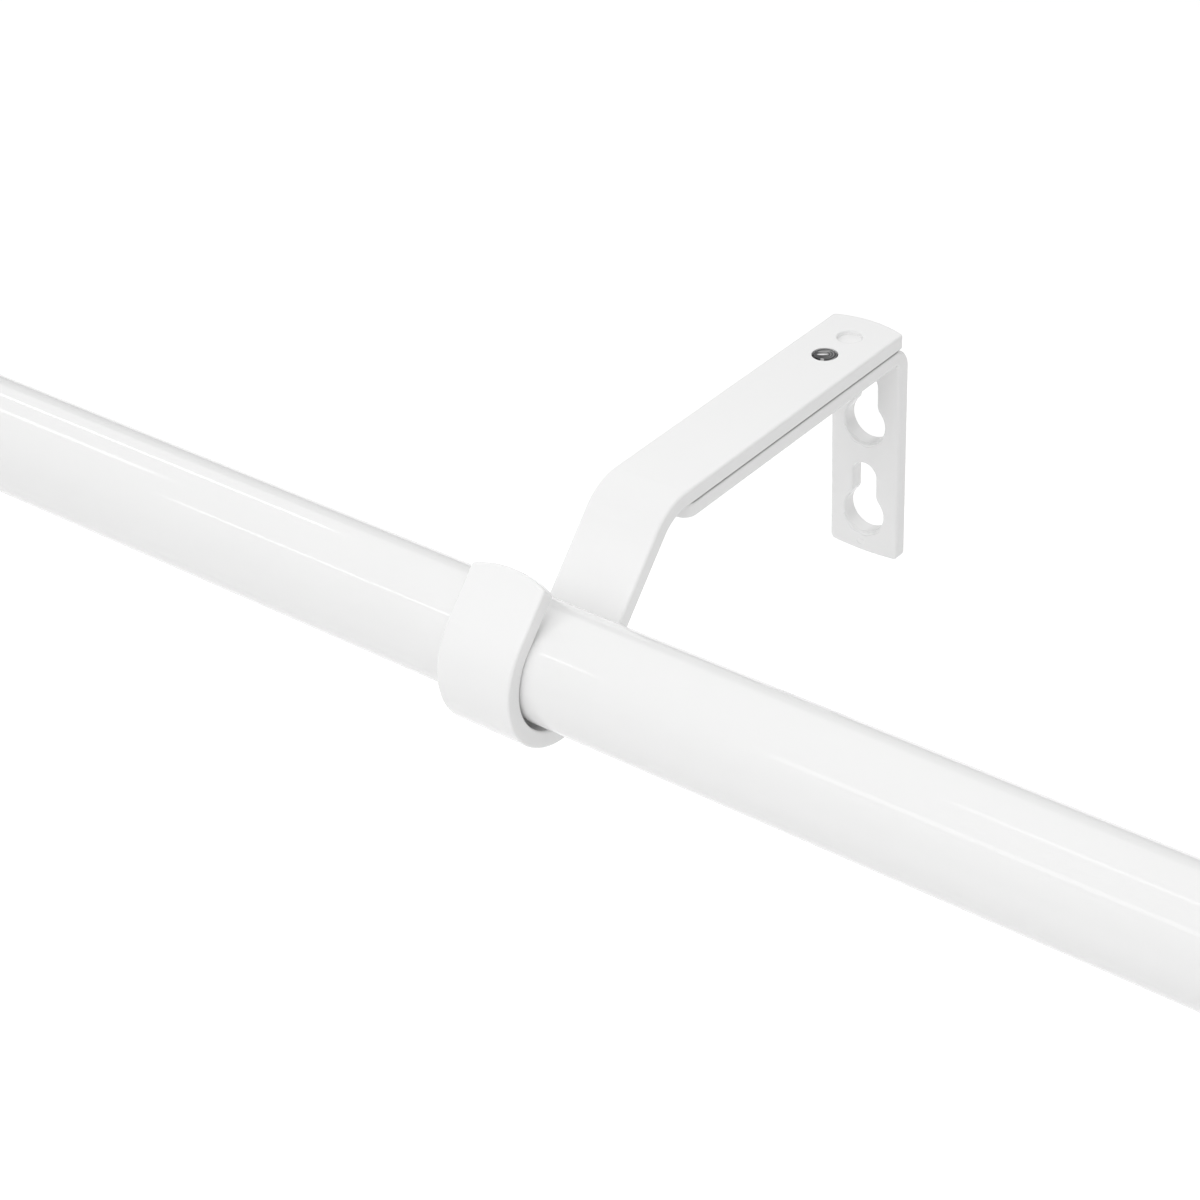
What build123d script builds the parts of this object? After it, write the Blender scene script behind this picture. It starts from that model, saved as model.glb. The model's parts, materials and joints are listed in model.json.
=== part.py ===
from build123d import *
from math import cos, radians, sin, tan
import os

# Curtain rod with end-cap finials, carried by two adjustable wall brackets.
# Millimetres, +Z up. The wall is the plane y = 0, and the room is on its -Y side.
# The origin is the middle of the left bracket's keyhole pair, on the face that meets the wall.

# Rod
rod_diameter = 25.4
outer_tube_wall = 1.0
outer_tube_length = 711.0
left_overhang = 170.0
right_overhang = 170.0
inner_tube_wall = 1.0
inner_tube_show = 12.0
inner_tube_end_gap = 65.0
telescope_clearance = 0.3
tube_lip_radius = 0.3

# Flat bar that both bracket pieces are bent from
bar_width = 19.0
bar_thickness = 3.8
bar_edge_radius = 0.6
bar_corner_radius = 0.9
bar_end_crown = 1.9

# Wall bracket
arm_top_height = 30.47
arm_corner_radius = 3.4
wall_bend_radius = 1.7
keyhole_diameter = 10.9
keyhole_slot_width = 6.6
keyhole_height = 18.9
keyhole_pitch = 24.7
keyhole_blend_radius = 2.8
keyhole_rim_radius = 0.5
keyhole_bend_margin = 3.17
keyhole_foot_margin = 5.73
plate_corner_radius = 1.4
plate_foot_crown = 0.6
bracket_edge_radius = 0.8

# Hook arm
rod_projection = 130.1
rod_height = 14.82
arm_wall_gap = 0.93
slope_angle = 47.5
slope_bend_radius = 10.0
hook_slack = 1.05
lip_length = 14.66
rod_clearance = 0.1
arm_tip_gap = 0.3

# Clamp screw and the locating pip that runs behind it in the wall bracket's slot
clamp_screw_setback = 20.6
clamp_screw_diameter = 6.0
clamp_screw_proud = 0.1
clamp_head_diameter = 12.0
clamp_head_height = 3.6
clamp_head_radius = 1.6
pip_setback = 10.5
pip_diameter = 5.9
pip_depth = 1.0
pip_rim_radius = 0.3
slot_clearance = 0.3
projection_travel = 48.0

# Rod screw that presses the rod against the hook's lip
rod_screw_diameter = 5.0
rod_screw_length = 8.0
socket_width = 2.5
socket_depth = 2.4

# Details that all screws share
thread_clearance = 0.05
screw_tip_chamfer = 0.6
cross_width = 1.1
cross_length = 5.0
cross_depth = 1.8

# Finials and the plugs that hold them
finial_step = 1.8
finial_length = 22.0
finial_end_radius = 3.0
finial_shoulder_radius = 0.8
stem_diameter = 8.0
stem_length = 14.0
plug_length = 18.0
plug_flange = 1.2
plug_clearance = 0.1

# Places worked out from the sizes above
rod_radius = rod_diameter / 2
bracket_spacing = outer_tube_length - left_overhang - right_overhang
outer_bore = rod_diameter - 2 * outer_tube_wall
inner_diameter = outer_bore - 2 * telescope_clearance
inner_bore = inner_diameter - 2 * inner_tube_wall
outer_left_end = -left_overhang
outer_right_end = outer_tube_length - left_overhang
inner_right_end = outer_right_end + inner_tube_show
inner_left_end = outer_left_end + plug_length + inner_tube_end_gap
inner_tube_length = inner_right_end - inner_left_end
finial_diameter = rod_diameter + 2 * finial_step

half_bar = bar_thickness / 2
rod_centre = Vector(-rod_projection, rod_height)
up_slope = Vector(cos(radians(slope_angle)), sin(radians(slope_angle)))
out_slope = Vector(sin(radians(slope_angle)), -cos(radians(slope_angle)))
hook_radius = rod_radius + hook_slack
hook_centre = rod_centre + out_slope * (hook_slack - rod_clearance)
hook_mid_radius = hook_radius + half_bar
hook_start = hook_centre + out_slope * hook_mid_radius
hook_bottom = hook_centre - up_slope * hook_mid_radius
hook_end = hook_centre - out_slope * hook_mid_radius
lip_tip = hook_end + up_slope * (lip_length - bar_end_crown)
strap_mid_height = arm_top_height + half_bar
strap_back = Vector(-arm_wall_gap - bar_end_crown, strap_mid_height)
slope_rise = (strap_mid_height - hook_start.Y) / up_slope.Y
strap_corner = hook_start + up_slope * slope_rise
bend_setback = (slope_bend_radius + half_bar) * tan(radians(slope_angle / 2))
arm_tip = strap_corner.X + bend_setback + arm_tip_gap

keyhole_reach = (keyhole_pitch + keyhole_height) / 2
keyhole_top = arm_top_height - bar_thickness - wall_bend_radius - keyhole_bend_margin
keyhole_middle = keyhole_top - keyhole_reach
plate_bottom = keyhole_middle - keyhole_reach - keyhole_foot_margin
plate_foot = plate_bottom + plate_foot_crown
slot_width = clamp_screw_diameter + 2 * slot_clearance
slot_length = clamp_screw_setback + projection_travel - pip_setback
slot_middle = -(clamp_screw_setback + projection_travel + pip_setback) / 2


def side_plane(x):
    """Plane across the rod at x, drawn in (y, z)."""
    return Plane(origin=(x, 0, 0), x_dir=(0, 1, 0), z_dir=(1, 0, 0))


def wall_plane(x):
    """Plane of the wall at a bracket, facing the room and drawn in (x, z)."""
    return Plane(origin=(x, 0, 0), x_dir=(1, 0, 0), z_dir=(0, -1, 0))


def level_plane(x, height):
    """Level plane at a height, drawn in (x, y)."""
    return Plane(origin=(x, 0, height))


def rod_screw_plane(x, distance):
    """Plane square to the rod screw, at a distance from the rod's axis."""
    point = rod_centre + out_slope * distance
    outward = (0, out_slope.X, out_slope.Y)
    return Plane(origin=(x, point.X, point.Y), x_dir=(1, 0, 0), z_dir=outward)


def rim_edges(bar, end_directions):
    """Edges round a bent bar's two broad faces, without its bend lines and corner lines."""
    cross_lines = bar.edges().filter_by(Axis.X)
    bend_lines = cross_lines.filter_by(lambda line: line.length > bar_width - bar_edge_radius)
    rims = bar.edges() - bend_lines
    for direction in end_directions:
        rims = rims - bar.edges().filter_by(direction)
    return rims


def save(piece, name):
    """Label a finished piece and write it to its own file."""
    piece.part.label = name
    export_step(piece.part, f"parts/{name}.step")


def make_wall_bracket(name, x):
    """Flat bar bent to an L: keyhole plate against the wall and slotted arm under the hook arm."""
    arm_mid_height = arm_top_height - half_bar
    with BuildPart() as wall_bracket:
        with BuildSketch(side_plane(x)):
            with BuildLine() as bar_path:
                FilletPolyline(
                    (-half_bar, plate_foot),
                    (-half_bar, arm_mid_height),
                    (arm_tip, arm_mid_height),
                    radius=wall_bend_radius + half_bar,
                )
            trace(bar_path.line, line_width=bar_thickness)
        extrude(amount=bar_width / 2, both=True)
        with BuildSketch(wall_plane(x)):
            with BuildLine():
                Line((-bar_width / 2, plate_foot), (bar_width / 2, plate_foot))
                ThreePointArc((bar_width / 2, plate_foot), (0, plate_bottom), (-bar_width / 2, plate_foot))
            make_face()
        extrude(amount=bar_thickness)
        plate_corners = wall_bracket.edges().filter_by(Axis.Y).group_by(Axis.Z)[0]
        arm_corners = wall_bracket.edges().filter_by(Axis.Z).group_by(Axis.Y)[0]
        fillet(plate_corners, plate_corner_radius)
        fillet(arm_corners, arm_corner_radius)
        fillet(rim_edges(wall_bracket, [Axis.Y, Axis.Z]), bracket_edge_radius)
        with BuildSketch(wall_plane(x)) as keyholes:
            for middle in (keyhole_middle - keyhole_pitch / 2, keyhole_middle + keyhole_pitch / 2):
                hole_height = middle - keyhole_height / 2 + keyhole_diameter / 2
                slot_end = middle + keyhole_height / 2 - keyhole_slot_width / 2
                with Locations((0, hole_height)):
                    Circle(keyhole_diameter / 2)
                with Locations((0, (hole_height + slot_end) / 2)):
                    SlotCenterToCenter(slot_end - hole_height, keyhole_slot_width, rotation=90)
            vertex_rows = keyholes.vertices().group_by(Axis.Y)
            throat_corners = vertex_rows[0] + vertex_rows[2]
            fillet(throat_corners, keyhole_blend_radius)
        extrude(amount=bar_thickness, mode=Mode.SUBTRACT)
        keyhole_rims = wall_bracket.edges(Select.LAST).group_by(Axis.Y)[0]
        fillet(keyhole_rims, keyhole_rim_radius)
        with BuildSketch(level_plane(x, arm_top_height)):
            with Locations((0, slot_middle)):
                SlotCenterToCenter(slot_length, slot_width, rotation=90)
        extrude(amount=-bar_thickness, mode=Mode.SUBTRACT)
    save(wall_bracket, name)


def make_hook_arm(name, x):
    """Flat bar that lies on the wall bracket, slopes down and bends into an open hook round the rod."""
    slope_axis = Axis((0, 0, 0), (0, out_slope.X, out_slope.Y))
    lip_front = (0, -out_slope.X, -out_slope.Y)
    back_end = Plane(origin=(x, strap_back.X, strap_back.Y))
    lip_end = Plane(origin=(x, lip_tip.X, lip_tip.Y), x_dir=(1, 0, 0), z_dir=lip_front)
    with BuildPart() as hook_arm:
        with BuildSketch(side_plane(x)):
            with BuildLine() as bar_path:
                FilletPolyline(strap_back, strap_corner, hook_start, radius=slope_bend_radius + half_bar)
                ThreePointArc(hook_start, hook_bottom, hook_end)
                Line(hook_end, lip_tip)
            trace(bar_path.line, line_width=bar_thickness)
        extrude(amount=bar_width / 2, both=True)
        for end_plane in (back_end, lip_end):
            with BuildSketch(end_plane):
                with BuildLine():
                    Line((-bar_width / 2, 0), (bar_width / 2, 0))
                    ThreePointArc((bar_width / 2, 0), (0, bar_end_crown), (-bar_width / 2, 0))
                make_face()
            extrude(amount=half_bar, both=True)
        back_corners = hook_arm.edges().filter_by(Axis.Z)
        lip_corners = hook_arm.edges().filter_by(slope_axis)
        fillet(back_corners + lip_corners, bar_corner_radius)
        fillet(rim_edges(hook_arm, [Axis.Z, slope_axis]), bar_edge_radius)
        with BuildSketch(level_plane(x, arm_top_height)):
            with Locations((0, -clamp_screw_setback)):
                Circle(clamp_screw_diameter / 2 + thread_clearance)
        extrude(amount=bar_thickness, mode=Mode.SUBTRACT)
        with BuildSketch(level_plane(x, arm_top_height + bar_thickness)):
            with Locations((0, -pip_setback)):
                Circle(pip_diameter / 2)
        extrude(amount=-pip_depth, mode=Mode.SUBTRACT)
        fillet(hook_arm.edges(Select.LAST).group_by(Axis.Z)[-1], pip_rim_radius)
        with BuildSketch(level_plane(x, arm_top_height)):
            with Locations((0, -pip_setback)):
                Circle(pip_diameter / 2)
        extrude(amount=-pip_depth)
        with BuildSketch(rod_screw_plane(x, rod_radius)):
            Circle(rod_screw_diameter / 2 + thread_clearance)
        extrude(amount=rod_screw_length, mode=Mode.SUBTRACT)
    save(hook_arm, name)


def make_clamp_screw(name, x):
    """Cross-recessed pan-head screw, from below through the slot and into the hook arm."""
    head_top = arm_top_height - bar_thickness
    tip_height = arm_top_height + bar_thickness + clamp_screw_proud
    with BuildPart() as clamp_screw:
        with BuildSketch(level_plane(x, head_top)):
            with Locations((0, -clamp_screw_setback)):
                Circle(clamp_head_diameter / 2)
        extrude(amount=-clamp_head_height)
        fillet(clamp_screw.edges().group_by(Axis.Z)[0], clamp_head_radius)
        with BuildSketch(level_plane(x, head_top)):
            with Locations((0, -clamp_screw_setback)):
                Circle(clamp_screw_diameter / 2)
        extrude(amount=tip_height - head_top)
        chamfer(clamp_screw.edges().group_by(Axis.Z)[-1], screw_tip_chamfer)
        with BuildSketch(level_plane(x, head_top - clamp_head_height)):
            with Locations((0, -clamp_screw_setback)):
                Rectangle(cross_length, cross_width)
                Rectangle(cross_width, cross_length)
        extrude(amount=cross_depth, mode=Mode.SUBTRACT)
    save(clamp_screw, name)


def make_rod_screw(name, x):
    """Headless socket screw, square to the rod through the back of the hook."""
    tip_distance = rod_radius + rod_clearance
    with BuildPart() as rod_screw:
        with BuildSketch(rod_screw_plane(x, tip_distance)):
            Circle(rod_screw_diameter / 2)
        extrude(amount=rod_screw_length)
        chamfer(rod_screw.edges().filter_by(GeomType.CIRCLE), screw_tip_chamfer)
        with BuildSketch(rod_screw_plane(x, tip_distance + rod_screw_length)):
            RegularPolygon(socket_width / 2, 6, major_radius=False)
        extrude(amount=-socket_depth, mode=Mode.SUBTRACT)
    save(rod_screw, name)


def make_tube(name, left_end, length, diameter, wall):
    """Round tube along the rod's axis."""
    with BuildPart() as tube:
        with BuildSketch(side_plane(left_end)):
            with Locations(rod_centre):
                Circle(diameter / 2)
                Circle(diameter / 2 - wall, mode=Mode.SUBTRACT)
        extrude(amount=length)
        outer_rims = tube.edges().filter_by(GeomType.CIRCLE).sort_by(SortBy.RADIUS)[-2:]
        fillet(outer_rims, tube_lip_radius)
    save(tube, name)


def rod_end_plane(x, outward):
    """Plane across the rod at one of its ends, facing away from the rod."""
    origin = (x, rod_centre.X, rod_centre.Y)
    return Plane(origin=origin, x_dir=(0, outward, 0), z_dir=(outward, 0, 0))


def make_finial_plug(name, tube_end, outward, tube_diameter, tube_bore):
    """Plastic plug in the tube's end, with a flange against the tube and a bore for the finial's stem."""
    tube_mouth = rod_end_plane(tube_end, outward)
    with BuildPart() as finial_plug:
        with BuildSketch(tube_mouth):
            Circle(tube_diameter / 2)
        extrude(amount=plug_flange)
        with BuildSketch(tube_mouth):
            Circle(tube_bore / 2 - plug_clearance)
        extrude(amount=-plug_length)
        with BuildSketch(tube_mouth.offset(plug_flange)):
            Circle(stem_diameter / 2 + thread_clearance)
        extrude(amount=-plug_length - plug_flange, mode=Mode.SUBTRACT)
    save(finial_plug, name)


def make_finial(name, tube_end, outward):
    """Plain round end cap with a stem that goes into the plug."""
    shoulder = rod_end_plane(tube_end, outward).offset(plug_flange)
    with BuildPart() as finial:
        with BuildSketch(shoulder):
            Circle(finial_diameter / 2)
        extrude(amount=finial_length)
        cap_rims = finial.edges().filter_by(GeomType.CIRCLE).sort_by(Axis.X, reverse=outward > 0)
        fillet(cap_rims[0], finial_end_radius)
        fillet(cap_rims[1], finial_shoulder_radius)
        with BuildSketch(shoulder):
            Circle(stem_diameter / 2)
        extrude(amount=-stem_length)
    save(finial, name)


os.makedirs("parts", exist_ok=True)
for side, bracket_x in (("left", 0.0), ("right", bracket_spacing)):
    make_wall_bracket(f"{side}_wall_bracket", bracket_x)
    make_hook_arm(f"{side}_hook_arm", bracket_x)
    make_clamp_screw(f"{side}_clamp_screw", bracket_x)
    make_rod_screw(f"{side}_rod_screw", bracket_x)
make_tube("outer_tube", outer_left_end, outer_tube_length, rod_diameter, outer_tube_wall)
make_tube("inner_tube", inner_left_end, inner_tube_length, inner_diameter, inner_tube_wall)
make_finial_plug("left_finial_plug", outer_left_end, -1, rod_diameter, outer_bore)
make_finial_plug("right_finial_plug", inner_right_end, 1, inner_diameter, inner_bore)
make_finial("left_finial", outer_left_end, -1)
make_finial("right_finial", inner_right_end, 1)
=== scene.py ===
import json
from math import cos, floor, pi, radians, sin, tau

import bmesh
import bpy
from mathutils import Matrix, Vector


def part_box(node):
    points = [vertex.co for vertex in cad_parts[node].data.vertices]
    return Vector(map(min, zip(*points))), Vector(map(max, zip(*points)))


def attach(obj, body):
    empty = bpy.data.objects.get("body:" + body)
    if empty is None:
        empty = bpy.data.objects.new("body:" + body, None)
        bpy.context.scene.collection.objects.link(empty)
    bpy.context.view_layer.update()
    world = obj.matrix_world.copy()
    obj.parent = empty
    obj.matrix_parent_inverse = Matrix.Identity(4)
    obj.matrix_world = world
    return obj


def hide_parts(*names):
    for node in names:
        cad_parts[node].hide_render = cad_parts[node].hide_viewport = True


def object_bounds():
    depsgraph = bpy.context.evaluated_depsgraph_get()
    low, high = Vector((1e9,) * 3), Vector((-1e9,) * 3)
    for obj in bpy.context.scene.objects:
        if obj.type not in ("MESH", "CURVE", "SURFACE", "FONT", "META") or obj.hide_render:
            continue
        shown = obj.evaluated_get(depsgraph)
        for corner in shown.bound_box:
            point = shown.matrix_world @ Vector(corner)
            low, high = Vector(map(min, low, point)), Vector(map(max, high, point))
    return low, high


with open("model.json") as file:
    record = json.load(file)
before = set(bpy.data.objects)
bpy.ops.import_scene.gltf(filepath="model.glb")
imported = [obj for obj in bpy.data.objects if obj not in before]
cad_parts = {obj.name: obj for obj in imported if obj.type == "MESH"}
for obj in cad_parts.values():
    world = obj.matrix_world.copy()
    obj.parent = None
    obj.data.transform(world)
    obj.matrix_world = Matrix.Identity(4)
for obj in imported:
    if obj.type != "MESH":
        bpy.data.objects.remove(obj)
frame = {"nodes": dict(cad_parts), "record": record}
cad_low, cad_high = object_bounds()

# Curtain rod with end-cap finials on two adjustable wall brackets.
# Metres, in the frame of the solids: the rod lies along X, the wall is at y = 0 and +Z is up.
MM = 0.001

# Camera, as the photograph was taken
CAMERA_PLACE = (0.326625, -0.504288, 0.357349)
CAMERA_RIGHT = (0.7892482, 0.6129227, -0.0375910)
CAMERA_UP = (-0.3154494, 0.4571970, 0.8315423)
CAMERA_BACK = (0.5268576, -0.6444352, 0.5541880)
CAMERA_LENS = 87.97
CAMERA_SENSOR = 36.0

# Light: a soft white tent, brighter on the wall's side, and soft square lamps that the paint doesn't mirror:
# name, direction from the rod, distance, side, radiance
TENT_LEVEL = 0.619
TENT_SLOPE = (-0.091, 0.505, 0.035)
SOFT_LAMPS = (
    ("lamp_front_high", (-0.08, -0.70, 0.70), 0.8, 0.65, 2.12),
    ("lamp_front_low", (0.05, -0.97, -0.10), 0.8, 0.65, 0.31),
    ("lamp_right_high", (0.55, -0.55, 0.62), 0.8, 0.65, 0.88),
)

# Lamp tubes along the rod, which draw its thin bright lines:
# name, tilt above the room side in degrees, start and end along X, width, radiance
LAMP_TUBE_DISTANCE = 1.2
LAMP_TUBES = (
    ("lamp_back", 123.0, -1.70, -0.955, 0.08, 3.8),
    ("lamp_over_left", 87.7, -1.70, -1.12, 0.12, 2.6),
    ("lamp_front_left", 51.8, -1.10, -0.70, 0.06, 3.2),
    ("lamp_front_right", 42.5, -0.55, 0.00, 0.14, 1.4),
    ("lamp_over_right", 87.7, -0.42, 0.05, 0.10, 1.7),
)

# Grey card behind the object, which draws the rod's upper edge against the white
CARD_COLOUR = (0.72, 0.72, 0.72, 1.0)
CARD_BEHIND = 1.1
CARD_SPAN = (-2.4, 1.4)
CARD_TOP = 0.65

# Floor below the hung rod
FLOOR_DROP = 0.22
FLOOR_SIDE = 16.0
FLOOR_COLOUR = (0.87, 0.87, 0.87, 1.0)
FLOOR_GLOW = 0.37

# Clamp screw: M6 with a pan head
CLAMP_DIAMETER = 6.0 * MM
CLAMP_PITCH = 1.0 * MM
CLAMP_HEAD_HEIGHT = 3.6 * MM
CLAMP_HEAD_RADIUS = 1.6 * MM
CROSS_WIDTH = 1.1 * MM
CROSS_LENGTH = 5.0 * MM
CROSS_DEPTH = 1.8 * MM

# Rod screw: headless M5 with a hexagon socket
ROD_SCREW_DIAMETER = 5.0 * MM
ROD_SCREW_PITCH = 0.8 * MM
ROD_SCREW_LENGTH = 8.0 * MM
ROD_SCREW_SLOPE = radians(47.5)
ROD_CLEARANCE = 0.1 * MM
SOCKET_WIDTH = 2.5 * MM
SOCKET_DEPTH = 2.4 * MM

# Details that both kinds of screw share; the rings of a dished tip are shares of its radius and depth,
# and the ring on a head's flat end is a share of the flat's radius
TIP_CHAMFER = 0.6 * MM
TIP_DISH = 0.12 * MM
TIP_RINGS = ((0.3, 1.0), (0.8, 0.6))
HEAD_RING = 0.5
THREAD_DEPTH_SHARE = 0.55
THREAD_CREST_SHARE = 0.15
THREAD_ROOT_SHARE = 0.25
ROWS_PER_PITCH = 12
SCREW_SIDES = 72
RECESS_OVERSHOOT = 1.0 * MM

# Tubes, turned finely enough to mirror the lamps without facets
TUBE_WALL = 1.0 * MM
TUBE_LIP_RADIUS = 0.3 * MM
TUBE_SHOULDER = 0.5 * MM
TUBE_SIDES = 240

# Rounded edges and shading of turned pieces
ARC_STEPS = 6
SMOOTH_ANGLE = radians(32)

# Paint that has run together on the wall plate: a bead along the foot of each keyhole, and a drop
PLATE_THICKNESS = 3.8 * MM
BEAD_ANGLES = (radians(198), radians(322))
BEAD_OUTSET = 0.45 * MM
BEAD_RADIUS = 0.52 * MM
BEAD_TAPER = 0.6
BEAD_LUMPS = 3.5
BEAD_LUMP_SHARE = 0.3
BEAD_STEPS = 48
BEAD_SIDES = 12
DROP_PLACE = (-0.6 * MM, -3.0 * MM)
DROP_HALF_SIZES = (1.5 * MM, 0.65 * MM, 1.15 * MM)
DROP_SINK = 0.35 * MM
DROP_STEPS = 10
DROP_SIDES = 24

# The stretch of values that a noise mostly fills
NOISE_SPAN = (0.3, 0.7)

# Gloss paint: scale of its slow changes of tone, detail of its noises, reach of a grain within its cell
TONE_SCALE = 30.0
TONE_DETAIL = 3.0
PEEL_DETAIL = 1.5
GRAIN_REACH = 0.05

# Painted shade in the groove of the joint between the two bars of a bracket, drawn as a dark line on
# their rounded edges: its end and its full tone, by distance from the joint, by how level the surface is,
# and by the place along the wall bracket's arm, from the arm's tip
JOINT_SHADE_TONE = (0.40, 0.40, 0.40)
JOINT_REACH = (0.40 * MM, 0.14 * MM)
JOINT_LEVEL = (0.985, 0.94)
JOINT_START = (-0.2 * MM, 0.4 * MM)

# Moulded plastic of the plugs
PLASTIC_TONES = ((0.80, 0.80, 0.79), (0.76, 0.76, 0.75))
PLASTIC_CLOUD_SCALE = 60.0
PLASTIC_GRAIN_SCALE = 2600.0
PLASTIC_GRAIN_DEPTH = 0.01 * MM
PLASTIC_DETAIL = 2.0
PLASTIC_ROUGHNESS = (0.34, 0.46)

# Oiled steel of the screws, and the crests of a thread where it is rubbed bright
STEEL_TONES = ((0.045, 0.045, 0.047), (0.150, 0.150, 0.153))
STEEL_CLOUD_SCALE = 900.0
STEEL_DETAIL = 3.0
STEEL_ROUGHNESS = (0.28, 0.48)
RUBBED_TONE = (0.30, 0.30, 0.30)
RUBBED_CLOUD = (0.42, 0.62)
RUBBED_FROM = 0.94

# Turned rings on a screw's cut end, with a painted highlight on their crests on one side of it
RING_PITCH = 0.62 * MM
RING_DEPTH = 0.012 * MM
RING_HIGHLIGHT_TONE = (0.32, 0.32, 0.32)
RING_CREST = (0.0, 0.9)
RING_SIDE = 0.4
END_FADE = (-0.75 * MM, -0.55 * MM)

# Oval marks painted on a screw's cut end, a dull painted sheen, a bright painted streak of reflected light
# and a bright spot, along one line across it:
# centre along, centre beside, half length, half width, tone
MARKS_ALONG = (0.79, 0.61, 0.0)
MARKS_BESIDE = (-0.61, 0.79, 0.0)
MARK_FADE = (1.0, 0.35)
END_MARKS = (
    (-0.1 * MM, 1.3 * MM, 1.7 * MM, 0.55 * MM, (0.36, 0.36, 0.36)),
    (-0.5 * MM, 0.1 * MM, 1.5 * MM, 0.42 * MM, (0.92, 0.92, 0.92)),
    (-0.75 * MM, -2.3 * MM, 0.5 * MM, 0.5 * MM, (0.62, 0.62, 0.62)),
)


def place(tree, kind, inputs=None, **settings):
    """Add a node with its settings, and set or link its inputs."""
    node = tree.nodes.new(kind)
    for key, value in settings.items():
        setattr(node, key, value)
    for key, value in (inputs or {}).items():
        if isinstance(value, bpy.types.NodeSocket):
            tree.links.new(value, node.inputs[key])
        else:
            node.inputs[key].default_value = value
    return node


def work_out(tree, operation, first, second=0.0):
    """Result of a Math node."""
    return place(tree, "ShaderNodeMath", {0: first, 1: second}, operation=operation).outputs["Value"]


def measure_along(tree, spot, direction):
    """How far a place lies along a direction."""
    node = place(tree, "ShaderNodeVectorMath", {0: spot, 1: direction}, operation="DOT_PRODUCT")
    return node.outputs["Value"]


def ramp(tree, value, start, end, low=0.0, high=1.0):
    """A value carried smoothly from start and end to low and high."""
    node = place(tree, "ShaderNodeMapRange", {
        "Value": value,
        "From Min": start,
        "From Max": end,
        "To Min": low,
        "To Max": high,
    }, interpolation_type="SMOOTHSTEP")
    return node.outputs["Result"]


def noise(tree, spot, scale, detail):
    """Cloudy value at a place."""
    node = place(tree, "ShaderNodeTexNoise", {"Vector": spot, "Scale": scale, "Detail": detail})
    return node.outputs["Fac"]


def mix_colours(tree, share, first, second):
    """Colour between two colours, each plain or linked, by a share that changes over the surface."""
    mix = tree.nodes.new("ShaderNodeMix")
    mix.data_type = "RGBA"
    tree.links.new(share, mix.inputs[0])
    colour_inputs = [socket for socket in mix.inputs if socket.type == "RGBA"]
    for socket, colour in zip(colour_inputs, (first, second)):
        if isinstance(colour, bpy.types.NodeSocket):
            tree.links.new(colour, socket)
        else:
            socket.default_value = (*colour, 1.0)
    return next(socket for socket in mix.outputs if socket.type == "RGBA")


def start_material(name):
    """An empty node material, its tree and its output node."""
    material = bpy.data.materials.new(name)
    material.use_nodes = True
    tree = material.node_tree
    tree.nodes.clear()
    output = tree.nodes.new("ShaderNodeOutputMaterial")
    return material, tree, output


def start_group(name, inputs, outputs):
    """A shader group with number inputs and outputs of the given kinds, with the sockets inside it."""
    group = bpy.data.node_groups.new(name, "ShaderNodeTree")
    for label in inputs:
        group.interface.new_socket(label, in_out="INPUT", socket_type="NodeSocketFloat")
    for label, kind in outputs.items():
        group.interface.new_socket(label, in_out="OUTPUT", socket_type=kind)
    given = group.nodes.new("NodeGroupInput").outputs
    result = group.nodes.new("NodeGroupOutput").inputs
    return group, given, result


def make_paint_skin():
    """Group for gloss paint's skin: slow changes of tone, orange peel and a few grains under the paint."""
    group, given, result = start_group(
        "paint_skin",
        ("Peel Scale", "Tone Scale", "Grain Scale", "Grain Share"),
        {"Tone": "NodeSocketFloat", "Sheen": "NodeSocketFloat", "Height": "NodeSocketFloat"},
    )
    spot = group.nodes.new("ShaderNodeTexCoord").outputs["Object"]
    tone = noise(group, spot, given["Tone Scale"], TONE_DETAIL)
    peel = noise(group, spot, given["Peel Scale"], PEEL_DETAIL)
    grains = place(group, "ShaderNodeTexVoronoi", {"Vector": spot, "Scale": given["Grain Scale"]})
    grain_body = ramp(group, grains.outputs["Distance"], GRAIN_REACH, 0.0)
    pick = place(group, "ShaderNodeSeparateColor", {"Color": grains.outputs["Color"]}).outputs["Red"]
    kept = work_out(group, "LESS_THAN", pick, given["Grain Share"])
    grain = work_out(group, "MULTIPLY", grain_body, kept)
    height = work_out(group, "ADD", peel, grain)
    group.links.new(tone, result["Tone"])
    group.links.new(peel, result["Sheen"])
    group.links.new(height, result["Height"])
    return group


def painted_joint_shade(tree):
    """Mask of painted shade where the rounded edges of a wall bracket's arm and the hook arm meet in the
    joint.
    """
    arm_low, arm_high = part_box("left_wall_bracket")
    spot = tree.nodes.new("ShaderNodeTexCoord").outputs["Object"]
    axes = place(tree, "ShaderNodeSeparateXYZ", {"Vector": spot}).outputs
    facing = tree.nodes.new("ShaderNodeNewGeometry").outputs["Normal"]
    facing_up = place(tree, "ShaderNodeSeparateXYZ", {"Vector": facing}).outputs["Z"]
    off_joint = work_out(tree, "ABSOLUTE", work_out(tree, "SUBTRACT", axes["Z"], arm_high.z))
    in_groove = ramp(tree, off_joint, *JOINT_REACH)
    on_edge = ramp(tree, work_out(tree, "ABSOLUTE", facing_up), *JOINT_LEVEL)
    start, full = JOINT_START
    behind_tip = ramp(tree, axes["Y"], arm_low.y + start, arm_low.y + full)
    groove_edge = work_out(tree, "MULTIPLY", in_groove, on_edge)
    return work_out(tree, "MULTIPLY", groove_edge, behind_tip)


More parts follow.
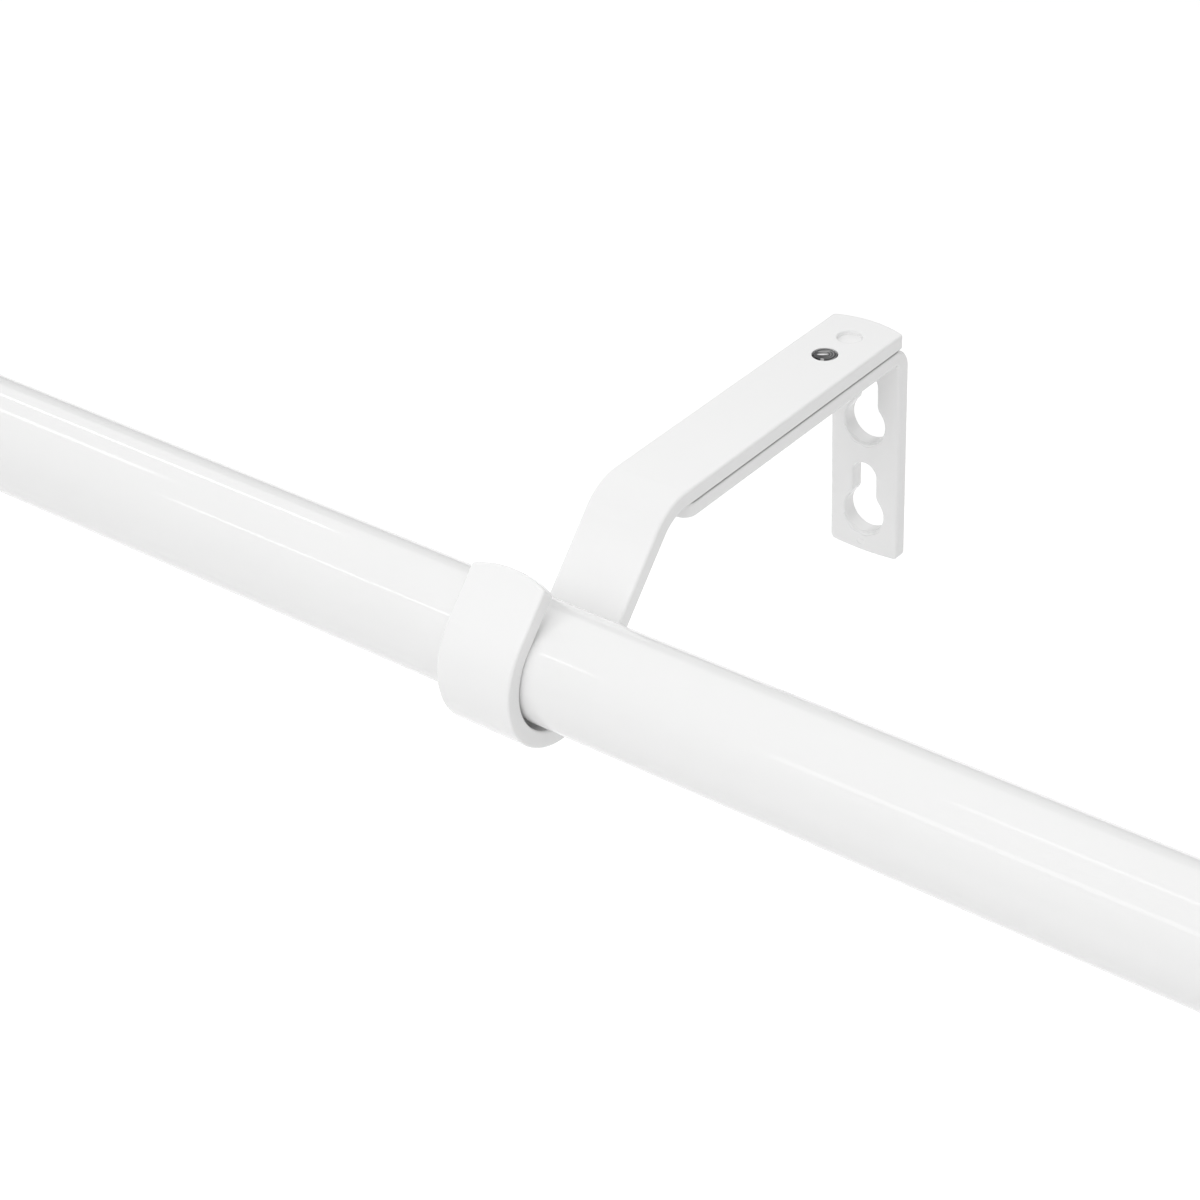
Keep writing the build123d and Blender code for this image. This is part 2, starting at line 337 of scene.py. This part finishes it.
def gloss_paint(name, full_tone, thin_tone, gloss, peel_scale, peel_depth, grain_scale, grain_share,
                joint_shaded=False):
    """White gloss paint over metal; gloss is its lowest and highest roughness."""
    material, tree, output = start_material(name)
    skin = place(tree, "ShaderNodeGroup", node_tree=paint_skin)
    skin.inputs["Tone Scale"].default_value = TONE_SCALE
    skin.inputs["Peel Scale"].default_value = peel_scale
    skin.inputs["Grain Scale"].default_value = grain_scale
    skin.inputs["Grain Share"].default_value = grain_share
    bump = place(tree, "ShaderNodeBump", {"Distance": peel_depth, "Height": skin.outputs["Height"]})
    colour = mix_colours(tree, skin.outputs["Tone"], full_tone, thin_tone)
    if joint_shaded:
        # painted shade: a dark line along the rounded edges in the joint's groove, where shade falls
        colour = mix_colours(tree, painted_joint_shade(tree), colour, JOINT_SHADE_TONE)
    paint = place(tree, "ShaderNodeBsdfPrincipled", {
        "Base Color": colour,
        "Roughness": ramp(tree, skin.outputs["Sheen"], *NOISE_SPAN, *gloss),
        "Normal": bump.outputs["Normal"],
    })
    tree.links.new(paint.outputs["BSDF"], output.inputs["Surface"])
    return material


def moulded_plastic(name):
    """White moulded plastic with a fine matt grain."""
    material, tree, output = start_material(name)
    spot = tree.nodes.new("ShaderNodeTexCoord").outputs["Object"]
    cloud = noise(tree, spot, PLASTIC_CLOUD_SCALE, PLASTIC_DETAIL)
    grain = noise(tree, spot, PLASTIC_GRAIN_SCALE, PLASTIC_DETAIL)
    bump = place(tree, "ShaderNodeBump", {"Distance": PLASTIC_GRAIN_DEPTH, "Height": grain})
    plastic = place(tree, "ShaderNodeBsdfPrincipled", {
        "Base Color": mix_colours(tree, cloud, *PLASTIC_TONES),
        "Roughness": ramp(tree, grain, *NOISE_SPAN, *PLASTIC_ROUGHNESS),
        "Normal": bump.outputs["Normal"],
    })
    tree.links.new(plastic.outputs["BSDF"], output.inputs["Surface"])
    return material


def end_mark(tree, along, beside, centre_along, centre_beside, half_length, half_width):
    """Mask of an oval mark on a screw's end."""
    along_share = work_out(tree, "DIVIDE", work_out(tree, "SUBTRACT", along, centre_along), half_length)
    beside_share = work_out(tree, "DIVIDE", work_out(tree, "SUBTRACT", beside, centre_beside), half_width)
    along_square = work_out(tree, "MULTIPLY", along_share, along_share)
    beside_square = work_out(tree, "MULTIPLY", beside_share, beside_share)
    return ramp(tree, work_out(tree, "ADD", along_square, beside_square), *MARK_FADE)


def make_screw_skin():
    """Group for oiled steel's skin: rubbed thread crests, and turned rings, painted highlights and a bright
    spot on the cut end.
    """
    group, given, result = start_group(
        "screw_skin",
        ("Thread Radius",),
        {"Colour": "NodeSocketColor", "Sheen": "NodeSocketFloat", "Height": "NodeSocketFloat"},
    )
    thread_radius = given["Thread Radius"]
    spot = group.nodes.new("ShaderNodeTexCoord").outputs["Object"]
    axes = place(group, "ShaderNodeSeparateXYZ", {"Vector": spot}).outputs
    across = place(group, "ShaderNodeCombineXYZ", {"X": axes["X"], "Y": axes["Y"]}).outputs["Vector"]
    radius = place(group, "ShaderNodeVectorMath", {0: across}, operation="LENGTH").outputs["Value"]
    along = measure_along(group, spot, MARKS_ALONG)
    beside = measure_along(group, spot, MARKS_BESIDE)
    cloud = noise(group, spot, STEEL_CLOUD_SCALE, STEEL_DETAIL)
    colour = mix_colours(group, cloud, *STEEL_TONES)
    crest_start = work_out(group, "MULTIPLY", thread_radius, RUBBED_FROM)
    crest = ramp(group, radius, crest_start, thread_radius)
    rubbed = work_out(group, "MULTIPLY", crest, ramp(group, cloud, *RUBBED_CLOUD))
    colour = mix_colours(group, rubbed, colour, RUBBED_TONE)
    # painted highlight: the crests of the turned rings are lighter on one side of the cut end only
    rings = work_out(group, "SINE", work_out(group, "MULTIPLY", radius, tau / RING_PITCH))
    dull_side = work_out(group, "MULTIPLY", thread_radius, -RING_SIDE)
    lit_side = work_out(group, "MULTIPLY", thread_radius, RING_SIDE)
    ring_side = ramp(group, along, dull_side, lit_side)
    ring_highlight = work_out(group, "MULTIPLY", ramp(group, rings, *RING_CREST), ring_side)
    marks = [(ring_highlight, RING_HIGHLIGHT_TONE)]
    for *oval, tone in END_MARKS:
        marks.append((end_mark(group, along, beside, *oval), tone))
    on_end = ramp(group, axes["Z"], *END_FADE)
    # the painted highlights and the bright spot lie on the cut end only
    for mark, tone in marks:
        colour = mix_colours(group, work_out(group, "MULTIPLY", mark, on_end), colour, tone)
    group.links.new(colour, result["Colour"])
    group.links.new(cloud, result["Sheen"])
    group.links.new(rings, result["Height"])
    return group


def screw_steel(name, thread_radius):
    """Dark oiled steel of a screw with one thread radius."""
    material, tree, output = start_material(name)
    skin = place(tree, "ShaderNodeGroup", node_tree=screw_skin)
    skin.inputs["Thread Radius"].default_value = thread_radius
    bump = place(tree, "ShaderNodeBump", {"Distance": RING_DEPTH, "Height": skin.outputs["Height"]})
    steel = place(tree, "ShaderNodeBsdfPrincipled", {
        "Base Color": skin.outputs["Colour"],
        "Metallic": 1.0,
        "Roughness": ramp(tree, skin.outputs["Sheen"], *NOISE_SPAN, *STEEL_ROUGHNESS),
        "Normal": bump.outputs["Normal"],
    })
    tree.links.new(steel.outputs["BSDF"], output.inputs["Surface"])
    return material


def coat(node, material):
    """Give a CAD node its finish."""
    materials = frame["nodes"][node].data.materials
    materials.clear()
    materials.append(material)


def dress(piece, material, body, crisp=True):
    """Give a new piece its finish and the body that carries it; a crisp one keeps its sharp edges."""
    piece.data.materials.clear()
    piece.data.materials.append(material)
    piece.data.shade_smooth()
    if crisp:
        piece.data.set_sharp_from_angle(angle=SMOOTH_ANGLE)
    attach(piece, body)


def skin_piece(name, rings, looped=False):
    """Closed piece through rings with as many points each: looped from last to first, or closed by fans."""
    work = bmesh.new()
    layers = [[work.verts.new(point) for point in ring] for ring in rings]
    sides = len(layers[0])
    ends = [] if looped else [layers[0], layers[-1]]
    if looped:
        layers.append(layers[0])
    for upper, lower in zip(layers, layers[1:]):
        for side in range(sides):
            after = (side + 1) % sides
            work.faces.new((upper[side], lower[side], lower[after], upper[after]))
    for layer in ends:
        middle = work.verts.new(sum((vert.co for vert in layer), Vector()) / sides)
        for side in range(sides):
            work.faces.new((layer[side], layer[(side + 1) % sides], middle))
    bmesh.ops.recalc_face_normals(work, faces=work.faces)
    mesh = bpy.data.meshes.new(name)
    work.to_mesh(mesh)
    work.free()
    piece = bpy.data.objects.new(name, mesh)
    bpy.context.scene.collection.objects.link(piece)
    return piece


def ring_at(radius, height):
    """Points round the Z axis at one radius and height."""
    points = []
    for side in range(SCREW_SIDES):
        turn = tau * side / SCREW_SIDES
        points.append((radius * cos(turn), radius * sin(turn), height))
    return points


def thread_ring(depth_below_tip, diameter, pitch, widest):
    """Points round a screw thread at a depth below its tip, no further out than the widest radius."""
    points = []
    for side in range(SCREW_SIDES):
        turn = side / SCREW_SIDES
        share = depth_below_tip / pitch + turn
        from_crest = abs(2 * (share - floor(share)) - 1)
        flank = 1 - THREAD_ROOT_SHARE - THREAD_CREST_SHARE
        lift = min(1.0, max(0.0, (1 - THREAD_ROOT_SHARE - from_crest) / flank))
        radius = diameter / 2 - THREAD_DEPTH_SHARE * pitch * (1 - lift)
        radius = min(radius, widest)
        points.append((radius * cos(tau * turn), radius * sin(tau * turn), -depth_below_tip))
    return points


def threaded_rings(diameter, pitch, length, chamfer_far_end):
    """Rings of a thread from its dished tip down, with a chamfer at the tip and perhaps at the far end."""
    end_radius = diameter / 2 - TIP_CHAMFER
    rings = []
    for radius_share, depth_share in TIP_RINGS:
        rings.append(ring_at(radius_share * end_radius, -depth_share * TIP_DISH))
    rows = round(length / pitch * ROWS_PER_PITCH)
    for row in range(rows + 1):
        depth = length * row / rows
        widest = end_radius + depth
        if chamfer_far_end:
            widest = min(widest, end_radius + length - depth)
        rings.append(thread_ring(depth, diameter, pitch, widest))
    return rings


def head_rings(top, radius, height, edge_radius):
    """Rings of a pan head below its bearing face, with a rounded lower edge."""
    rings = [ring_at(radius, top), ring_at(radius, top - height + edge_radius)]
    for step in range(1, ARC_STEPS + 1):
        angle = pi / 2 * step / ARC_STEPS
        arc_radius = radius - edge_radius * (1 - cos(angle))
        rings.append(ring_at(arc_radius, top - height + edge_radius * (1 - sin(angle))))
    rings.append(ring_at(HEAD_RING * (radius - edge_radius), top - height))
    return rings


def cut_recess(piece, outline, low, high):
    """Cut a straight-sided recess with an outline in X and Y out of a screw, between two heights."""
    work = bmesh.new()
    # Half a side's turn keeps the outline's corners off the edges of the screw's mesh
    turn = Matrix.Rotation(pi / SCREW_SIDES, 3, "Z")
    base = work.faces.new([work.verts.new(turn @ Vector((x, y, low))) for x, y in outline])
    walls = bmesh.ops.extrude_face_region(work, geom=[base])["geom"]
    raised = [part for part in walls if isinstance(part, bmesh.types.BMVert)]
    bmesh.ops.translate(work, verts=raised, vec=(0.0, 0.0, high - low))
    bmesh.ops.recalc_face_normals(work, faces=work.faces)
    mesh = bpy.data.meshes.new("recess")
    work.to_mesh(mesh)
    work.free()
    cutter = bpy.data.objects.new("recess", mesh)
    bpy.context.scene.collection.objects.link(cutter)
    cut = piece.modifiers.new("recess", "BOOLEAN")
    cut.operation = "DIFFERENCE"
    cut.solver = "EXACT"
    cut.object = cutter
    finished = piece.evaluated_get(bpy.context.evaluated_depsgraph_get())
    shape = bpy.data.meshes.new_from_object(finished)
    piece.modifiers.clear()
    piece.data = shape
    bpy.data.objects.remove(cutter)


def make_clamp_screw(side, body):
    """Pan-head screw with a cross recess, from below through the wall bracket and into the hook arm."""
    node = f"{side}_clamp_screw"
    low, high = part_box(node)
    head_radius = (high.x - low.x) / 2
    length = high.z - low.z - CLAMP_HEAD_HEIGHT
    rings = threaded_rings(CLAMP_DIAMETER, CLAMP_PITCH, length, False)
    rings += head_rings(-length, head_radius, CLAMP_HEAD_HEIGHT, CLAMP_HEAD_RADIUS)
    piece = skin_piece(f"{side}_clamp_screw_thread", rings)
    wide = CROSS_LENGTH / 2
    thin = CROSS_WIDTH / 2
    cross = [
        (thin, thin), (thin, wide), (-thin, wide),
        (-thin, thin), (-wide, thin), (-wide, -thin),
        (-thin, -thin), (-thin, -wide), (thin, -wide),
        (thin, -thin), (wide, -thin), (wide, thin),
    ]
    underside = -length - CLAMP_HEAD_HEIGHT
    cut_recess(piece, cross, underside - RECESS_OVERSHOOT, underside + CROSS_DEPTH)
    tip = Vector(((low.x + high.x) / 2, (low.y + high.y) / 2, high.z))
    piece.matrix_world = Matrix.Translation(tip)
    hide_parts(node)
    dress(piece, clamp_steel, body)


def make_rod_screw(side, body):
    """Headless screw with a hexagon socket, square to the rod through the back of the hook."""
    node = f"{side}_rod_screw"
    rings = threaded_rings(ROD_SCREW_DIAMETER, ROD_SCREW_PITCH, ROD_SCREW_LENGTH, True)
    piece = skin_piece(f"{side}_rod_screw_thread", rings)
    corner = SOCKET_WIDTH / 2 / cos(pi / 6)
    hexagon = [(corner * cos(tau * step / 6), corner * sin(tau * step / 6)) for step in range(6)]
    cut_recess(piece, hexagon, -ROD_SCREW_LENGTH - RECESS_OVERSHOOT, -ROD_SCREW_LENGTH + SOCKET_DEPTH)
    tube_low, tube_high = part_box("outer_tube")
    rod_radius = (tube_high.z - tube_low.z) / 2
    low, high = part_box(node)
    along = Vector((1.0, 0.0, 0.0))
    towards_rod = Vector((0.0, -sin(ROD_SCREW_SLOPE), cos(ROD_SCREW_SLOPE)))
    turn = Matrix((along, towards_rod.cross(along), towards_rod)).transposed().to_4x4()
    rod_axis = (tube_low + tube_high) / 2
    rod_axis.x = (low.x + high.x) / 2
    tip = rod_axis - towards_rod * (rod_radius + ROD_CLEARANCE)
    piece.matrix_world = Matrix.Translation(tip) @ turn
    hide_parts(node)
    dress(piece, rod_screw_dark, body)


def tube_outline(length, radius):
    """Outline of a tube's wall, as places along the tube and off its axis, with rounded outer lips."""
    bore = radius - TUBE_WALL
    left_half = [(TUBE_SHOULDER, bore), (0.0, bore)]
    for step in range(ARC_STEPS + 1):
        angle = pi / 2 * step / ARC_STEPS
        along = TUBE_LIP_RADIUS * (1 - cos(angle))
        left_half.append((along, radius - TUBE_LIP_RADIUS * (1 - sin(angle))))
    left_half.append((TUBE_LIP_RADIUS + TUBE_SHOULDER, radius))
    right_half = [(length - along, off_axis) for along, off_axis in reversed(left_half)]
    return left_half + right_half


def make_round_tube(node, body):
    """Painted tube along the rod, in its CAD node's place."""
    low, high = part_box(node)
    axis = (low + high) / 2
    rings = []
    for along, off_axis in tube_outline(high.x - low.x, (high.y - low.y) / 2):
        ring = []
        for side in range(TUBE_SIDES):
            turn = tau * side / TUBE_SIDES
            ring.append((low.x + along, axis.y + off_axis * cos(turn), axis.z + off_axis * sin(turn)))
        rings.append(ring)
    piece = skin_piece(f"{node}_turned", rings, looped=True)
    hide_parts(node)
    dress(piece, rod_paint, body)


def make_paint_bead(name, keyhole, radius):
    """Uneven bead of paint along the lower edge of a keyhole's round, on the front of the plate."""
    start, end = BEAD_ANGLES
    path_radius = radius + BEAD_OUTSET
    rings = []
    for step in range(1, BEAD_STEPS):
        share = step / BEAD_STEPS
        angle = start + (end - start) * share
        outward = Vector((cos(angle), 0.0, sin(angle)))
        lump = 1 + BEAD_LUMP_SHARE * sin(BEAD_LUMPS * tau * share)
        section = BEAD_RADIUS * sin(pi * share) ** BEAD_TAPER * lump
        ring = []
        for side in range(BEAD_SIDES):
            turn = tau * side / BEAD_SIDES
            reach = path_radius + section * cos(turn)
            ring.append(keyhole + outward * reach + Vector((0.0, section * sin(turn), 0.0)))
        rings.append(ring)
    dress(skin_piece(name, rings), bracket_paint, "wall_brackets", crisp=False)


def make_paint_drop(name, middle):
    """Flat drop of paint on the front of the plate."""
    half_width, half_depth, half_height = DROP_HALF_SIZES
    rings = []
    for step in range(1, DROP_STEPS):
        tilt = pi * step / DROP_STEPS
        ring = []
        for side in range(DROP_SIDES):
            turn = tau * side / DROP_SIDES
            across = Vector((half_width * cos(turn), 0.0, half_height * sin(turn)))
            ring.append(middle + across * sin(tilt) - Vector((0.0, half_depth * cos(tilt), 0.0)))
        rings.append(ring)
    dress(skin_piece(name, rings), bracket_paint, "wall_brackets", crisp=False)


def make_paint_runs(side):
    """Beads of paint at both keyholes of a wall plate, and a drop below the lower one."""
    mount = next(row for row in frame["record"]["mounts"] if row["name"] == f"{side}_keyholes")
    radius = mount["dims"]["hole_r_mm"] * MM
    pitch = mount["dims"]["spacing_y_mm"] * MM
    front = Vector(mount["pos_m"]) - Vector((0.0, PLATE_THICKNESS, 0.0))
    upper = front + Vector((0.0, 0.0, pitch / 2))
    lower = front - Vector((0.0, 0.0, pitch / 2))
    make_paint_bead(f"{side}_upper_paint_bead", upper, radius)
    make_paint_bead(f"{side}_lower_paint_bead", lower, radius)
    drop_across, drop_below = DROP_PLACE
    drop_middle = lower + Vector((drop_across, DROP_SINK, drop_below - radius))
    make_paint_drop(f"{side}_paint_drop", drop_middle)


def make_camera():
    """The camera where the photograph was taken from."""
    data = bpy.data.cameras.new("camera")
    data.lens = CAMERA_LENS
    data.sensor_width = CAMERA_SENSOR
    camera = bpy.data.objects.new("camera", data)
    turn = Matrix((CAMERA_RIGHT, CAMERA_UP, CAMERA_BACK)).transposed().to_4x4()
    camera.matrix_world = Matrix.Translation(CAMERA_PLACE) @ turn
    bpy.context.scene.collection.objects.link(camera)
    bpy.context.scene.camera = camera


def seen_directly(tree):
    """Mask of what the camera, reflections and clear materials see, as against light on surfaces."""
    path = tree.nodes.new("ShaderNodeLightPath").outputs
    mirrored = work_out(tree, "MAXIMUM", path["Is Glossy Ray"], path["Is Transmission Ray"])
    return work_out(tree, "MAXIMUM", path["Is Camera Ray"], mirrored)


def make_tent():
    """White world to look at, which lights surfaces as a soft tent, brighter on the wall's side."""
    world = bpy.data.worlds.new("tent")
    world.use_nodes = True
    tree = world.node_tree
    tree.nodes.clear()
    direction = tree.nodes.new("ShaderNodeTexCoord").outputs["Generated"]
    level = work_out(tree, "ADD", measure_along(tree, direction, TENT_SLOPE), TENT_LEVEL)
    strength = place(tree, "ShaderNodeMix", {0: seen_directly(tree), 2: level, 3: 1.0})
    sky = place(tree, "ShaderNodeBackground", {"Strength": strength.outputs[0]})
    sky.inputs["Color"].default_value = (1.0, 1.0, 1.0, 1.0)
    output = tree.nodes.new("ShaderNodeOutputWorld")
    tree.links.new(sky.outputs["Background"], output.inputs["Surface"])
    bpy.context.scene.world = world


def make_lamp(name, length, width, radiance, across, away, middle):
    """Flat lamp out of the camera's sight with one side along across, which shines against away."""
    data = bpy.data.lights.new(name, "AREA")
    data.shape = "RECTANGLE"
    data.size = length
    data.size_y = width
    data.energy = radiance * pi * length * width
    lamp = bpy.data.objects.new(name, data)
    turn = Matrix((across, away.cross(across), away)).transposed().to_4x4()
    lamp.matrix_world = Matrix.Translation(middle) @ turn
    lamp.visible_camera = False
    bpy.context.scene.collection.objects.link(lamp)
    return lamp


def make_lamps():
    """The soft lamps in front of the rod, and the lamp tubes along it."""
    tube_low, tube_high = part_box("outer_tube")
    rod_axis = (tube_low + tube_high) / 2
    rod_axis.x = 0.0
    up = Vector((0.0, 0.0, 1.0))
    for name, direction, distance, side, radiance in SOFT_LAMPS:
        away = Vector(direction).normalized()
        across = up.cross(away).normalized()
        lamp = make_lamp(name, side, side, radiance, across, away, rod_axis + away * distance)
        lamp.visible_glossy = False
    along = Vector((1.0, 0.0, 0.0))
    for name, tilt, start, end, width, radiance in LAMP_TUBES:
        away = Vector((0.0, -cos(radians(tilt)), sin(radians(tilt))))
        middle = rod_axis + along * (start + end) / 2 + away * LAMP_TUBE_DISTANCE
        make_lamp(name, end - start, width, radiance, along, away, middle)


def make_sheet(name, corners, material):
    """Flat stage piece through four corners."""
    mesh = bpy.data.meshes.new(name)
    mesh.from_pydata(corners, [], [(0, 1, 2, 3)])
    mesh.materials.append(material)
    sheet = bpy.data.objects.new(name, mesh)
    bpy.context.scene.collection.objects.link(sheet)
    return sheet


def make_floor():
    """Plain white floor below the hung rod, which keeps the rod's soft shadow."""
    material, tree, output = start_material("floor_white")
    matt = place(tree, "ShaderNodeBsdfDiffuse", {"Color": FLOOR_COLOUR})
    glow_strength = work_out(tree, "MULTIPLY", seen_directly(tree), FLOOR_GLOW)
    glow = place(tree, "ShaderNodeEmission", {"Strength": glow_strength})
    both = place(tree, "ShaderNodeAddShader", {0: matt.outputs["BSDF"], 1: glow.outputs["Emission"]})
    tree.links.new(both.outputs["Shader"], output.inputs["Surface"])
    level = cad_low.z - FLOOR_DROP
    half = FLOOR_SIDE / 2
    corners = [(-half, -half, level), (half, -half, level), (half, half, level), (-half, half, level)]
    make_sheet("floor", corners, material)


def make_card():
    """Grey card behind the object, for the rod's edge to mirror, which throws no shadow and isn't seen."""
    material, tree, output = start_material("card_grey")
    matt = place(tree, "ShaderNodeBsdfDiffuse", {"Color": CARD_COLOUR})
    tree.links.new(matt.outputs["BSDF"], output.inputs["Surface"])
    left, right = CARD_SPAN
    low = cad_low.z - FLOOR_DROP
    corners = [
        (left, CARD_BEHIND, low),
        (right, CARD_BEHIND, low),
        (right, CARD_BEHIND, CARD_TOP),
        (left, CARD_BEHIND, CARD_TOP),
    ]
    card = make_sheet("card", corners, material)
    card.visible_camera = False
    card.visible_diffuse = False
    card.visible_shadow = False


# Finishes
paint_skin = make_paint_skin()
screw_skin = make_screw_skin()
bracket_paint = gloss_paint(
    "bracket_paint",
    full_tone=(0.888, 0.888, 0.886),
    thin_tone=(0.868, 0.868, 0.866),
    gloss=(0.13, 0.21),
    peel_scale=650.0,
    peel_depth=0.006 * MM,
    grain_scale=90.0,
    grain_share=0.10,
    joint_shaded=True,
)
rod_paint = gloss_paint(
    "rod_paint",
    full_tone=(0.865, 0.865, 0.863),
    thin_tone=(0.850, 0.850, 0.848),
    gloss=(0.05, 0.09),
    peel_scale=420.0,
    peel_depth=0.002 * MM,
    grain_scale=60.0,
    grain_share=0.04,
)
finial_paint = gloss_paint(
    "finial_paint",
    full_tone=(0.870, 0.870, 0.868),
    thin_tone=(0.850, 0.850, 0.848),
    gloss=(0.08, 0.13),
    peel_scale=520.0,
    peel_depth=0.003 * MM,
    grain_scale=70.0,
    grain_share=0.05,
)
plug_plastic = moulded_plastic("plug_plastic")
clamp_steel = screw_steel("clamp_steel", CLAMP_DIAMETER / 2)
rod_screw_dark = screw_steel("rod_screw_dark", ROD_SCREW_DIAMETER / 2)

# The object
for side, arm_body in (("left", "left_arm_and_rod"), ("right", "right_arm")):
    coat(f"{side}_wall_bracket", bracket_paint)
    coat(f"{side}_hook_arm", bracket_paint)
    coat(f"{side}_finial", finial_paint)
    coat(f"{side}_finial_plug", plug_plastic)
    make_clamp_screw(side, arm_body)
    make_rod_screw(side, arm_body)
    make_paint_runs(side)
make_round_tube("outer_tube", "left_arm_and_rod")
make_round_tube("inner_tube", "rod_extension")

# The studio
make_camera()
make_tent()
make_lamps()
make_floor()
make_card()
bpy.context.scene.view_settings.view_transform = "Standard"
